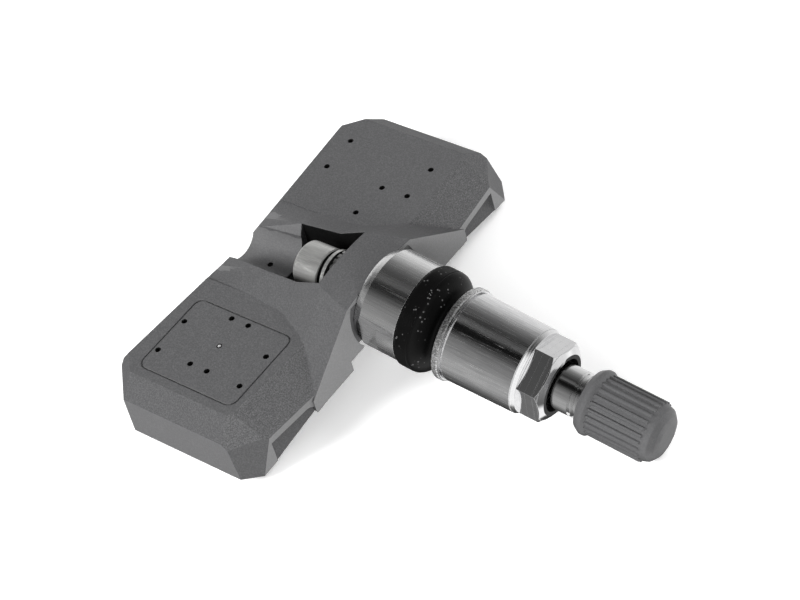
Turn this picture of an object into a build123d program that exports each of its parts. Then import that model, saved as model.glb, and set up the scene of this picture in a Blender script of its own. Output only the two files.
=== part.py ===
from build123d import *
import os
from math import cos, radians, sin, tan

# Clamp-in tyre pressure sensor, in millimetres.
# The origin is where the valve's axis meets the rear face of the clamp washer.
# X runs forward through the housing towards the valve, Y along the two wings,
# Z is normal to the top of the housing. The valve leans down from X.

# Valve: stations are measured along its own axis from the origin
valve_lean = 8.5
seat_station = -15.4
base_radius = 8.5
base_front = -7.0
base_edge_station = -13.75
base_rear_radius = 7.75
base_rear_land = 0.2
flat_half_width = 7.9
flat_front = -10.4
stem_radius = 4.0
thread_radius = 3.85
thread_rear = 11.5
stem_tip = 35.4
stem_tip_chamfer = 0.5
air_bore_radius = 1.6
air_bore_rear = -9.9
air_outlet_station = -8.7
air_outlet_radius = 1.2

# Rubber grommet and clamp washer
grommet_radius = 8.85
grommet_heel_radius = 7.9
grommet_heel = 0.9
grommet_shoulder = -4.0
grommet_taper = ((-2.7, 8.1), (-1.7, 6.6))
grommet_nose_radius = 6.1
washer_radius = 8.05
washer_thickness = 1.1
washer_edge = 0.15

# Sleeve nut
sleeve_rim_radius = 7.85
sleeve_rim_width = 0.3
sleeve_groove_radius = 7.1
sleeve_groove_width = 0.35
sleeve_rear_radius = 7.6
sleeve_front_radius = 7.33
sleeve_front = 14.35
sleeve_bore_radius = 5.4
sleeve_bore_front = 12.0
hex_flats = 12.0
hex_turn = 34.0
hex_rear = 15.2
hex_front = 19.6
hex_chamfer_radius = 5.3
hex_chamfer_angle = 32.0
nut_mouth_radius = 4.6
nut_mouth_depth = 1.2
nut_thread_play = 0.04

# Valve cap and its seal
cap_rear = 24.8
cap_flange_radius = 5.52
cap_flange_edge = 5.0
cap_flange_length = 2.2
cap_body_radius = 4.85
cap_rib_height = 0.3
cap_rib_count = 26
cap_rib_width = 0.62
cap_shoulder = 36.4
cap_tip = 38.7
cap_tip_flat = 2.2
cap_thread_play = 0.05
seal_thickness = 0.8
seal_radius = 4.2
seal_bore_radius = 1.5
seal_play = 0.05
cap_well_depth = 0.6

# Valve core
core_thread_radius = 2.6
core_thread_length = 5.4
core_recess = 0.8
core_barrel_radius = 2.0
core_barrel_length = 5.0
core_bore_play = 0.05
core_guide_radius = 0.6
core_chamber_radius = 1.3
core_wall = 1.1
core_drive_width = 1.6
core_drive_depth = 1.2
core_seal_thickness = 1.0
core_seal_radius = 2.45
pin_radius = 0.45
pin_head_radius = 0.8
pin_head_length = 0.8
pin_plate_radius = 1.3
pin_plate_length = 0.7
pin_collar_radius = 1.1
pin_collar_length = 0.5
pin_travel = 1.0
spring_wire = 0.24
spring_turns = 3
spring_radius = 0.82

# Housing outline, seen from above
case_front = -14.8
case_rear = -45.7
front_straight = 19.0
front_corner = (-16.3, 33.9)
end_front = (-18.7, 36.75)
end_rear = (-41.8, 36.75)
rear_corner = (-47.85, 30.4)

# Housing outline, seen from the front
case_top = 2.45
belly = -4.96
belly_half_flat = 17.0
keel = -7.84
toe = -7.0
end_draft = 0.75

# Bevels round the top of each wing: how far in and how far down each reaches
rear_bevel = (1.7, 2.0)
rear_corner_bevel = (1.9, 2.75)
end_bevel = (3.6, 2.9)
front_corner_bevel = (3.8, 3.8)
front_bevel = (5.5, 4.2)
front_corner_upper = ((-20.1, 35.9), (-15.95, 30.5))
rear_corner_upper = ((-47.85, 30.2), (-42.3, 36.0))

# Hump and arch
hump_foot = -1.0
hump_start = -46.5
well_rear = -36.05
hump_knee = -27.7
arch_rear = -22.0
arch_middle = -20.6
arch_front = -14.6
crease_rear = 10.3
crease_well = 10.0
crease_knee = 10.9
crease_arch = 13.6
crease_middle = 14.66
crease_front = 20.6
crease_front_drop = 4.45
rim_start = 0.8
rim_start_half = 6.1
rim_well = 4.25
rim_knee = 5.1
arch_top_rear = 7.65
arch_top_middle = 7.5
arch_middle_half = 7.0
arch_top_front = 6.9
arch_front_half = 8.7
rim_land = 0.15
rear_crown = 0.05
arch_crown = 0.9

# Trough and screw well behind the arch
trough_mouth = -47.9
trough_mouth_radius = 3.75
trough_mouth_height = 1.45
trough_inner_radius = 4.6
trough_inner_height = 2.2
trough_flare = 0.5
well_rear_half = 5.65
well_knee_half = 6.0
well_front_half = 6.24
well_floor = -2.6
washer_pit_rear = -25.2
washer_pit_floor = -3.2

# Screw and its washer
screw_height = 2.3
screw_head_radius = 4.15
screw_head_length = 5.1
screw_head_edge = 0.45
screw_neck_radius = 3.55
screw_neck_length = 0.95
screw_flange_radius = 4.4
screw_flange_length = 0.75
screw_foot_radius = 3.4
screw_foot_length = 0.8
screw_shank_radius = 2.0
screw_reach = 4.4
screw_play = 0.04
screw_hole_radius = 2.35
socket_flats = 4.0
socket_depth = 2.6
lock_washer_radius = 4.75
lock_washer_thickness = 1.4
lock_washer_teeth = 24
lock_tooth_depth = 0.45
lock_tooth_width = 0.5

# Valve seat in the front of the arch
socket_play = 0.4
notch_half = 11.1
notch_top = -2.9
notch_rear = -18.2

# Recesses moulded into the front faces
recess_depth = 1.6
outer_recess_start = 1.6
outer_recess_end = 11.7
outer_recess_top = -3.05
outer_recess_corner = 2.0
inner_recess_points = ((11.8, 1.9), (17.2, -0.6), (18.2, -4.5))
inner_recess_side = 12.4
inner_recess_corner = 0.6

# Marks in the top faces
panel_centre = (-32.65, -22.58)
panel_size = (20.6, 16.5)
panel_corner = 1.7
panel_groove = 0.3
panel_groove_depth = 0.2
pin_mark_radius = 0.52
pin_mark_sides = 10
pin_mark_depth = 1.2
near_marks_centre = (-33.0, -23.15)
near_marks_pitch = (17.7, 6.9)
near_pairs_centre = (-33.0, -21.1)
near_pairs_pitch = (3.6, 10.9)
far_marks_centre = (-33.4, 23.35)
far_marks_pitch = (17.5, 6.9)
far_single_marks = ((-29.9, 19.7), (-30.5, 13.0))
trough_mark = -40.6
trough_mark_depth = 0.4

# Chambers inside the wings, and the base cover
roof = 1.5
chamber_rear = -43.4
chamber_front = -21.2
chamber_inner = 8.4
chamber_outer = 31.0
chamber_corner = 1.5
bridge_front = -36.2
bridge_height = 1.5
cover_thickness = 1.1
cover_play = 0.1

# Electronics
board_thickness = 0.8
board_height = -3.4
board_play = 0.4
boss_radius = 1.1
boss_sides = 8
collar_radius = 2.2
collar_sides = 12
port_radius = 0.5
sensor_size = (5.0, 5.0, 1.6)
filter_radius = 1.5
filter_thickness = 0.3
transmitter_size = (6.0, 6.0, 0.9)
transmitter_place = (-36.0, -24.2)
crystal_size = (3.2, 2.5, 0.8)
crystal_place = (-29.0, -24.0)
capacitor_size = (1.0, 0.5, 0.5)
capacitor_centre = (-37.8, -12.4)
capacitor_pitch = (2.4, 1.6)
antenna_place = (-24.6, -12.8)
antenna_length = 7.0
antenna_flange = (2.6, 2.6)
antenna_flange_thickness = 0.9
antenna_core_section = (1.6, 1.4)
battery_radius = 10.0
battery_thickness = 3.2
battery_place = (-32.3, 19.7)
battery_floor = -2.7
battery_cap_radius = 8.6
battery_cap_height = 0.5
lead_width = 2.0
lead_thickness = 0.15
lead_positive_x = -40.6
lead_negative_x = -38.0
lead_gap = 0.1

# Values that follow from those above
lean = radians(valve_lean)
axis_direction = (cos(lean), 0, -sin(lean))
valve_axis = Axis((0, 0, 0), axis_direction)
valve_profile = Plane(origin=(0, 0, 0), x_dir=axis_direction, z_dir=(0, -1, 0))
screw_profile = Plane(origin=(0, 0, screw_height), x_dir=(1, 0, 0), z_dir=(0, -1, 0))
screw_axis = Axis((0, 0, screw_height), (1, 0, 0))
roof_height = case_top - roof
board_top = board_height + board_thickness
belly_slope = (keel - belly) / (front_corner[1] - belly_half_flat)
nut_rear = washer_thickness
screw_seat = arch_rear - lock_washer_thickness
valve_rear_x = seat_station * cos(lean)
screw_end = valve_rear_x + screw_reach
bridge_roof = belly + bridge_height


def station(distance):
    """Plane square to the valve at a distance along its axis."""
    place = (distance * axis_direction[0], 0, distance * axis_direction[2])
    return Plane(origin=place, x_dir=(0, 1, 0), z_dir=axis_direction)


def across(x):
    """Plane square to X, seen from the front: its own axes are Y and Z."""
    return Plane(origin=(x, 0, 0), x_dir=(0, 1, 0), z_dir=(1, 0, 0))


def facet(first, second, third):
    """Plane through three points that faces away from the housing's middle."""
    a, b, c = Vector(*first), Vector(*second), Vector(*third)
    normal = (b - a).cross(c - a)
    middle = Vector((case_front + case_rear) / 2, 0, belly)
    if normal.dot(a - middle) < 0:
        normal = normal * -1
    return Plane(origin=a, x_dir=b - a, z_dir=normal)


def bevel_plane(start, end, size):
    """Bevel along a side edge given from above, reaching in and down by its size."""
    inset, drop = size
    along = Vector(end[0] - start[0], end[1] - start[1], 0).normalized()
    inward = Vector(-along.Y, along.X, 0)
    middle = Vector((case_front + case_rear) / 2 - start[0], -start[1], 0)
    if inward.dot(middle) < 0:
        inward = inward * -1
    top_start = (start[0] + inset * inward.X, start[1] + inset * inward.Y, case_top)
    top_end = (end[0] + inset * inward.X, end[1] + inset * inward.Y, case_top)
    return facet(top_start, top_end, (start[0], start[1], case_top - drop))


def belly_height(y):
    """Height of the underside at a place along the wings."""
    return belly + belly_slope * max(0, abs(y) - belly_half_flat)


def hump_section(x, half_crease, crease_height, half_top, top, crown):
    """Outline of the hump at one place along X, its foot sunk a little into the wings."""
    slope = abs(top - crease_height) / (half_crease - half_top)
    foot = half_crease + 0.5
    foot_height = crease_height - 0.5 * slope
    with BuildSketch(across(x)) as outline:
        with BuildLine():
            Polyline((-half_top, top), (-foot, foot_height), (-foot, belly), (foot, belly),
                     (foot, foot_height), (half_top, top))
            ThreePointArc((half_top, top), (0, top + crown), (-half_top, top))
        make_face()
    return outline.sketch


def trough_section(x, radius, height):
    """A half-round groove whose walls flare out above its middle."""
    open_top = arch_top_rear + 4
    open_half = radius + trough_flare * (open_top - height)
    with BuildSketch(across(x)) as outline:
        with BuildLine():
            Polyline((-radius, height), (-open_half, open_top), (open_half, open_top), (radius, height))
            ThreePointArc((radius, height), (0, height - radius), (-radius, height))
        make_face()
    return outline.sketch


def chamber_plan(inset):
    """The two chambers and the passage that joins them behind the well."""
    width = chamber_front - chamber_rear - 2 * inset
    length = chamber_outer - chamber_inner - 2 * inset
    for side in (1, -1):
        with Locations(((chamber_front + chamber_rear) / 2, side * (chamber_outer + chamber_inner) / 2)):
            RectangleRounded(width, length, chamber_corner)
    bridge_width = bridge_front - chamber_rear - 2 * inset
    with Locations(((bridge_front + chamber_rear) / 2, 0)):
        Rectangle(bridge_width, 2 * (chamber_inner + chamber_corner))


# Recesses in the front face: each is deepest at its top and runs out at the bottom edge
sweep_line = Vector(front_corner[0] - case_front, front_corner[1] - front_straight, 0).normalized()
outward = Vector(sweep_line.Y, -sweep_line.X, 0)
face_start = Vector(case_front, front_straight, keel)
swept_face = Plane(origin=(case_front, front_straight, 0), x_dir=sweep_line, z_dir=outward)
with BuildPart() as outer_recess:
    with BuildSketch(swept_face) as shape:
        with BuildLine():
            Polyline((outer_recess_start, keel - 1), (outer_recess_start, outer_recess_top),
                     (outer_recess_end, outer_recess_top), (outer_recess_end, keel - 1), close=True)
        make_face()
        fillet(shape.vertices().group_by(Axis.Y)[-1].sort_by(Axis.X)[0], outer_recess_corner)
    extrude(amount=-recess_depth)
    outer_back = face_start - outward * recess_depth
    split(bisect_by=facet(tuple(face_start), tuple(face_start + sweep_line),
                          (outer_back.X, outer_back.Y, outer_recess_top)), keep=Keep.TOP)
with BuildPart() as inner_recess:
    with BuildSketch(across(case_front)) as shape:
        with BuildLine():
            Polyline(*inner_recess_points, (inner_recess_points[2][0], keel - 1),
                     (inner_recess_side, keel - 1), close=True)
        make_face()
        fillet(shape.vertices().sort_by(Axis.Y)[-2:], inner_recess_corner)
    extrude(amount=-recess_depth)
    split(bisect_by=facet((case_front, 0, keel), (case_front, front_straight, keel),
                          (case_front - recess_depth, 0, inner_recess_points[0][1])), keep=Keep.TOP)

# Housing shell
with BuildPart() as housing_shell:
    # one wing: its section from the front, then its outline from above
    with BuildSketch(across(rear_corner[0])):
        with BuildLine():
            Polyline((0, belly), (belly_half_flat, belly), (front_corner[1], keel), (end_front[1], toe),
                     (end_front[1], case_top), (0, case_top), close=True)
        make_face()
    extrude(amount=case_front - rear_corner[0])
    with BuildSketch(Plane.XY.offset(keel)):
        with BuildLine():
            Polyline((case_front, 0), (case_front, front_straight), front_corner, end_front, end_rear,
                     rear_corner, (case_rear, 0), close=True)
        make_face()
    extrude(amount=case_top - keel, mode=Mode.INTERSECT)
    # drafted end and corner, then the bevels round the top
    drafted_y = end_front[1] - end_draft
    split(bisect_by=facet((*end_front, toe), (*end_rear, toe),
                          (end_front[0], drafted_y, case_top - end_bevel[1])), keep=Keep.BOTTOM)
    corner_foot = case_top - front_corner_bevel[1]
    split(bisect_by=facet((*front_corner_upper[0], corner_foot), (*front_corner_upper[1], corner_foot),
                          (*front_corner, keel)), keep=Keep.BOTTOM)
    for start, end, size in (
        (rear_corner_upper[0], rear_corner_upper[1], rear_corner_bevel),
        ((end_rear[0], drafted_y), (end_front[0], drafted_y), end_bevel),
        (front_corner_upper[0], front_corner_upper[1], front_corner_bevel),
        ((case_front, front_straight), front_corner, front_bevel),
        ((case_front, 0), (case_front, front_straight), front_bevel),
    ):
        split(bisect_by=bevel_plane(start, end, size), keep=Keep.BOTTOM)
    # hump that dips to the trough and rises to the arch, cut back to the same wing
    with BuildSketch(Plane.XY.offset(hump_foot)):
        with BuildLine():
            Polyline((hump_start, 0), (hump_start, crease_rear), (well_rear, crease_well),
                     (hump_knee, crease_knee), (hump_knee, 0), close=True)
        make_face()
    extrude(amount=case_top - hump_foot, mode=Mode.SUBTRACT)
    loft([hump_section(hump_start, crease_rear, case_top, rim_start_half, rim_start, rear_crown),
          hump_section(well_rear, crease_well, case_top, well_rear_half + rim_land, rim_well,
                       rear_crown),
          hump_section(hump_knee, crease_knee, case_top, well_knee_half + rim_land, rim_knee,
                       rear_crown),
          hump_section(arch_rear, crease_arch, case_top, well_front_half + rim_land, arch_top_rear,
                       arch_crown / 2),
          hump_section(arch_middle, crease_middle, case_top, arch_middle_half, arch_top_middle,
                       arch_crown / 2),
          hump_section(arch_front, crease_front, case_top - crease_front_drop, arch_front_half,
                       arch_top_front, arch_crown)], ruled=True)
    split(bisect_by=Plane.XZ, keep=Keep.BOTTOM)
    split(bisect_by=bevel_plane((case_rear, 0), rear_corner, rear_bevel), keep=Keep.BOTTOM)
    add(outer_recess.part, mode=Mode.SUBTRACT)
    add(inner_recess.part, mode=Mode.SUBTRACT)
    mirror(about=Plane.XZ)
    # trough, well and screw hole
    loft([trough_section(trough_mouth, trough_mouth_radius, trough_mouth_height),
          trough_section(well_rear, trough_inner_radius, trough_inner_height)], ruled=True,
         mode=Mode.SUBTRACT)
    with BuildSketch(Plane.XY.offset(well_floor)):
        with BuildLine():
            Polyline((well_rear, -well_rear_half), (hump_knee, -well_knee_half),
                     (arch_rear, -well_front_half), (arch_rear, well_front_half),
                     (hump_knee, well_knee_half), (well_rear, well_rear_half), close=True)
        make_face()
    extrude(amount=arch_top_rear + 4 - well_floor, mode=Mode.SUBTRACT)
    with BuildSketch(Plane.XY.offset(washer_pit_floor)):
        with Locations(((washer_pit_rear + arch_rear) / 2, 0)):
            Rectangle(arch_rear - washer_pit_rear, 2 * well_knee_half)
    extrude(amount=well_floor - washer_pit_floor, mode=Mode.SUBTRACT)
    with BuildSketch(Plane(origin=(arch_rear, 0, screw_height), x_dir=(0, 1, 0), z_dir=(1, 0, 0))):
        Circle(screw_hole_radius)
    extrude(amount=case_front - arch_rear, mode=Mode.SUBTRACT)
    # seat for the valve, and the notch below it
    with BuildSketch(station(seat_station)):
        Circle(base_radius + socket_play)
    extrude(amount=base_radius, mode=Mode.SUBTRACT)
    with BuildSketch(Plane.XY.offset(notch_top)):
        with Locations(((notch_rear + case_front + 2) / 2, 0)):
            Rectangle(case_front + 2 - notch_rear, 2 * notch_half)
    extrude(amount=keel - notch_top, mode=Mode.SUBTRACT)
    # chambers, open underneath
    with BuildSketch(Plane.XY.offset(roof_height)):
        for side in (1, -1):
            with Locations(((chamber_front + chamber_rear) / 2, side * (chamber_outer + chamber_inner) / 2)):
                RectangleRounded(chamber_front - chamber_rear, chamber_outer - chamber_inner,
                                 chamber_corner)
    extrude(amount=keel - roof_height - 1, mode=Mode.SUBTRACT)
    with BuildSketch(Plane.XY.offset(bridge_roof)):
        with Locations(((bridge_front + chamber_rear) / 2, 0)):
            Rectangle(bridge_front - chamber_rear, 2 * (chamber_inner + chamber_corner))
    extrude(amount=keel - bridge_roof, mode=Mode.SUBTRACT)
    # bosses that carry the board, and the collar round the pressure port
    with BuildSketch(Plane.XY.offset(board_top)):
        with Locations(near_marks_centre):
            with GridLocations(*near_marks_pitch, 2, 2):
                RegularPolygon(boss_radius, boss_sides)
    extrude(amount=roof_height - board_top)
    port_place = (near_pairs_centre[0] + near_pairs_pitch[0] / 2,
                  near_pairs_centre[1] + near_pairs_pitch[1] / 2)
    collar_foot = board_top + sensor_size[2] + filter_thickness
    with BuildSketch(Plane.XY.offset(collar_foot)):
        with Locations(port_place):
            RegularPolygon(collar_radius, collar_sides)
    extrude(amount=roof_height - collar_foot)
    with BuildSketch(Plane.XY.offset(collar_foot)):
        with Locations(port_place):
            Circle(port_radius)
    extrude(amount=case_top - collar_foot + 1, mode=Mode.SUBTRACT)
    # marks in the top faces
    with BuildSketch(Plane.XY.offset(case_top)):
        with Locations(near_marks_centre):
            with GridLocations(*near_marks_pitch, 2, 2):
                RegularPolygon(pin_mark_radius, pin_mark_sides)
        with Locations(near_pairs_centre):
            with GridLocations(*near_pairs_pitch, 2, 2):
                RegularPolygon(pin_mark_radius, pin_mark_sides)
        with Locations(far_marks_centre):
            with GridLocations(*far_marks_pitch, 2, 2):
                RegularPolygon(pin_mark_radius, pin_mark_sides)
        with Locations(*far_single_marks):
            RegularPolygon(pin_mark_radius, pin_mark_sides)
    extrude(amount=-pin_mark_depth, mode=Mode.SUBTRACT)
    with BuildSketch(Plane.XY.offset(case_top)):
        with Locations(panel_centre):
            RectangleRounded(*panel_size, panel_corner)
            RectangleRounded(panel_size[0] - 2 * panel_groove, panel_size[1] - 2 * panel_groove,
                             panel_corner - panel_groove, mode=Mode.SUBTRACT)
    extrude(amount=-panel_groove_depth, mode=Mode.SUBTRACT)
    trough_share = (trough_mark - trough_mouth) / (well_rear - trough_mouth)
    trough_floor = (trough_mouth_height - trough_mouth_radius) * (1 - trough_share) \
        + (trough_inner_height - trough_inner_radius) * trough_share
    with BuildSketch(Plane.XY.offset(trough_floor - trough_mark_depth)):
        with Locations((trough_mark, 0)):
            RegularPolygon(pin_mark_radius, pin_mark_sides)
    extrude(amount=2, mode=Mode.SUBTRACT)

# Base cover
with BuildPart() as base_cover:
    with BuildSketch(across(chamber_rear)):
        with BuildLine():
            wing_end = chamber_outer
            Polyline((-wing_end, belly_height(wing_end)), (-belly_half_flat, belly),
                     (belly_half_flat, belly), (wing_end, belly_height(wing_end)),
                     (wing_end, belly_height(wing_end) + cover_thickness),
                     (belly_half_flat, belly + cover_thickness),
                     (-belly_half_flat, belly + cover_thickness),
                     (-wing_end, belly_height(wing_end) + cover_thickness), close=True)
        make_face()
    extrude(amount=chamber_front - chamber_rear)
    with BuildSketch(Plane.XY.offset(keel)):
        chamber_plan(cover_play)
    extrude(amount=roof_height - keel, mode=Mode.INTERSECT)

# Circuit board
with BuildPart() as circuit_board:
    with BuildSketch(Plane.XY.offset(board_height)):
        with Locations(((chamber_front + chamber_rear) / 2, -(chamber_outer + chamber_inner) / 2)):
            RectangleRounded(chamber_front - chamber_rear - 2 * board_play,
                             chamber_outer - chamber_inner - 2 * board_play, chamber_corner)
    extrude(amount=board_thickness)

# Pressure sensor chip under the port
with BuildPart() as sensor_chip:
    with BuildSketch(Plane.XY.offset(board_top)):
        with Locations(port_place):
            Rectangle(sensor_size[0], sensor_size[1])
    extrude(amount=sensor_size[2])

# Filter between the port's collar and the chip
with BuildPart() as pressure_port_filter:
    with BuildSketch(Plane.XY.offset(board_top + sensor_size[2])):
        with Locations(port_place):
            Circle(filter_radius)
    extrude(amount=filter_thickness)

# Transmitter chip
with BuildPart() as transmitter_chip:
    with BuildSketch(Plane.XY.offset(board_top)):
        with Locations(transmitter_place):
            Rectangle(transmitter_size[0], transmitter_size[1])
    extrude(amount=transmitter_size[2])

# Quartz crystal in its metal can
with BuildPart() as crystal_can:
    with BuildSketch(Plane.XY.offset(board_top)):
        with Locations(crystal_place):
            RectangleRounded(crystal_size[0], crystal_size[1], crystal_size[1] / 6)
    extrude(amount=crystal_size[2])

# Small capacitors
with BuildPart() as chip_capacitors:
    with BuildSketch(Plane.XY.offset(board_top)):
        with Locations(capacitor_centre):
            with GridLocations(*capacitor_pitch, 3, 2):
                Rectangle(capacitor_size[0], capacitor_size[1])
    extrude(amount=capacitor_size[2])

# Ferrite core of the wake-up aerial, a bar with a flange at each end
with BuildPart() as antenna_core:
    core_middle = board_top + antenna_flange[1] / 2
    with BuildSketch(Plane(origin=(antenna_place[0], antenna_place[1] - antenna_length / 2, core_middle),
                           x_dir=(1, 0, 0), z_dir=(0, 1, 0))):
        Rectangle(*antenna_core_section)
    extrude(amount=antenna_length)
    for start in (-antenna_length / 2, antenna_length / 2 - antenna_flange_thickness):
        with BuildSketch(Plane(origin=(antenna_place[0], antenna_place[1] + start, core_middle),
                               x_dir=(1, 0, 0), z_dir=(0, 1, 0))):
            Rectangle(*antenna_flange)
        extrude(amount=antenna_flange_thickness)

# Its winding
with BuildPart() as antenna_coil:
    coil_length = antenna_length - 2 * antenna_flange_thickness
    with BuildSketch(Plane(origin=(antenna_place[0], antenna_place[1] - coil_length / 2, core_middle),
                           x_dir=(1, 0, 0), z_dir=(0, 1, 0))):
        RectangleRounded(antenna_flange[0] - 0.3, antenna_flange[1] - 0.3, 0.4)
        Rectangle(*antenna_core_section, mode=Mode.SUBTRACT)
    extrude(amount=coil_length)

# Coin cell: a can with a smaller cap crimped into its top
with BuildPart() as battery_cell:
    cell_axis = Axis((*battery_place, battery_floor), (0, 0, 1))
    with BuildSketch(Plane(origin=(*battery_place, battery_floor), x_dir=(1, 0, 0), z_dir=(0, -1, 0))):
        with BuildLine():
            Polyline((0, 0), (battery_radius, 0), (battery_radius, battery_thickness - battery_cap_height),
                     (battery_cap_radius, battery_thickness - battery_cap_height / 2),
                     (battery_cap_radius, battery_thickness), (0, battery_thickness), close=True)
        make_face()
    revolve(axis=cell_axis)

# Flat leads that carry the current under the trough to the board
lead_height = belly + cover_thickness + lead_gap


def lead_outline(contact_height, end):
    """Side view of a lead: from the cell down to the passage and up to the board."""
    drop = chamber_inner + lead_gap + lead_thickness / 2
    rise = -(chamber_inner + chamber_corner + lead_width / 2)
    low = lead_height + lead_thickness / 2
    with BuildLine() as path:
        Polyline((end, contact_height), (drop, contact_height), (drop, low), (rise, low))
    trace(path.line, lead_thickness)
    with Locations(((rise - 0.5), (low - lead_thickness / 2 + board_height) / 2)):
        Rectangle(1.0, board_height - low + lead_thickness / 2)


contact_end = battery_place[1] - 1
with BuildPart() as battery_lead_negative:
    with BuildSketch(across(lead_negative_x - lead_width / 2)):
        lead_outline(battery_floor + battery_thickness + lead_thickness / 2, contact_end)
    extrude(amount=lead_width)

with BuildPart() as battery_lead_positive:
    with BuildSketch(across(lead_positive_x - lead_width / 2)):
        lead_outline(battery_floor - lead_thickness / 2, contact_end)
    extrude(amount=lead_width)

# Valve: base and stem turned from one bar
core_thread_rear = stem_tip - core_recess - core_thread_length
core_barrel_rear = core_thread_rear - core_barrel_length
core_bore_radius = core_thread_radius + core_bore_play
core_counterbore_radius = core_seal_radius + core_bore_play
plate_room = pin_plate_length + pin_travel + 0.6
with BuildPart() as valve_stem:
    with BuildSketch(valve_profile):
        with BuildLine():
            Polyline((seat_station, 0), (seat_station, base_rear_radius - base_rear_land),
                     (seat_station + base_rear_land, base_rear_radius),
                     (base_edge_station, base_radius), (base_front, base_radius),
                     (base_front, stem_radius), (thread_rear, stem_radius),
                     (thread_rear + stem_radius - thread_radius, thread_radius),
                     (stem_tip - stem_tip_chamfer, thread_radius),
                     (stem_tip, thread_radius - stem_tip_chamfer), (stem_tip, 0), close=True)
        make_face()
    revolve(axis=valve_axis)
    # side flats on the base
    with BuildSketch(station(seat_station)):
        with Locations((flat_half_width + base_radius / 2, 0), (-flat_half_width - base_radius / 2, 0)):
            Rectangle(base_radius, 3 * base_radius)
    extrude(amount=flat_front - seat_station, mode=Mode.SUBTRACT)
    # air passage, the core's bore and the outlet in the base
    with BuildSketch(station(air_bore_rear)):
        Circle(air_bore_radius)
    extrude(amount=stem_tip - air_bore_rear, mode=Mode.SUBTRACT)
    with BuildSketch(station(core_barrel_rear - plate_room)):
        Circle(core_barrel_radius + core_bore_play)
    extrude(amount=stem_tip - core_barrel_rear + plate_room, mode=Mode.SUBTRACT)
    with BuildSketch(station(core_thread_rear - core_seal_thickness)):
        Circle(core_counterbore_radius)
    extrude(amount=stem_tip - core_thread_rear + core_seal_thickness, mode=Mode.SUBTRACT)
    with BuildSketch(station(core_thread_rear)):
        Circle(core_bore_radius)
    extrude(amount=stem_tip - core_thread_rear, mode=Mode.SUBTRACT)
    outlet_place = (air_outlet_station * axis_direction[0], 0, air_outlet_station * axis_direction[2])
    with BuildSketch(Plane(origin=outlet_place, x_dir=(0, 1, 0), z_dir=(-sin(lean), 0, -cos(lean)))):
        Circle(air_outlet_radius)
    extrude(amount=base_radius + 1, mode=Mode.SUBTRACT)
    # tapped hole for the housing screw, drilled level with the housing
    with BuildSketch(Plane(origin=(valve_rear_x - 1.5, 0, screw_height), x_dir=(0, 1, 0),
                           z_dir=(1, 0, 0))):
        Circle(screw_shank_radius + screw_play)
    extrude(amount=screw_reach + 2.1, mode=Mode.SUBTRACT)

# Rubber grommet
with BuildPart() as rubber_grommet:
    with BuildSketch(valve_profile):
        with BuildLine():
            Polyline((0, grommet_nose_radius), (0, stem_radius), (base_front, stem_radius),
                     (base_front, grommet_heel_radius), (base_front + grommet_heel, grommet_radius),
                     (grommet_shoulder, grommet_radius), *grommet_taper, (0, grommet_nose_radius))
        make_face()
    revolve(axis=valve_axis)

# Clamp washer
with BuildPart() as clamp_washer:
    with BuildSketch(station(0)):
        Circle(washer_radius)
        Circle(stem_radius + 0.1, mode=Mode.SUBTRACT)
    extrude(amount=washer_thickness)
    chamfer(clamp_washer.edges().filter_by(GeomType.CIRCLE).sort_by(SortBy.RADIUS)[-2:], washer_edge)

# Sleeve nut
with BuildPart() as sleeve_nut:
    hex_corner_radius = hex_flats / 2 / cos(radians(30))
    with BuildSketch(valve_profile):
        groove_start = nut_rear + sleeve_rim_width
        groove_end = groove_start + sleeve_groove_width
        thread_bore = thread_radius + nut_thread_play
        with BuildLine():
            Polyline((nut_rear, sleeve_bore_radius), (nut_rear, sleeve_rim_radius),
                     (groove_start, sleeve_rim_radius), (groove_start, sleeve_groove_radius),
                     (groove_end, sleeve_groove_radius), (groove_end, sleeve_rear_radius),
                     (sleeve_front, sleeve_front_radius), (hex_rear, hex_corner_radius),
                     (hex_rear, thread_bore), (sleeve_bore_front + sleeve_bore_radius - thread_bore,
                                               thread_bore),
                     (sleeve_bore_front, sleeve_bore_radius), close=True)
        make_face()
    revolve(axis=valve_axis)
    with BuildSketch(station(hex_rear)):
        RegularPolygon(hex_flats / 2, 6, major_radius=False, rotation=hex_turn)
        Circle(thread_bore, mode=Mode.SUBTRACT)
    extrude(amount=hex_front - hex_rear)
    # chamfered corners at the front of the hexagon
    cone_run = (hex_corner_radius - hex_chamfer_radius) * tan(radians(hex_chamfer_angle))
    with BuildSketch(valve_profile):
        with BuildLine():
            Polyline((hex_front, hex_chamfer_radius), (hex_front, hex_corner_radius + 1),
                     (hex_front - cone_run - tan(radians(hex_chamfer_angle)), hex_corner_radius + 1),
                     close=True)
        make_face()
    revolve(axis=valve_axis, mode=Mode.SUBTRACT)
    # wider mouth round the stem
    with BuildSketch(station(hex_front - nut_mouth_depth)):
        Circle(nut_mouth_radius)
    extrude(amount=nut_mouth_depth, mode=Mode.SUBTRACT)

# Ring that seals the cap on the end of the stem
seal_rear = stem_tip + seal_play
with BuildPart() as cap_seal:
    with BuildSketch(station(seal_rear)):
        Circle(seal_radius)
        Circle(seal_bore_radius, mode=Mode.SUBTRACT)
    extrude(amount=seal_thickness)

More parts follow.
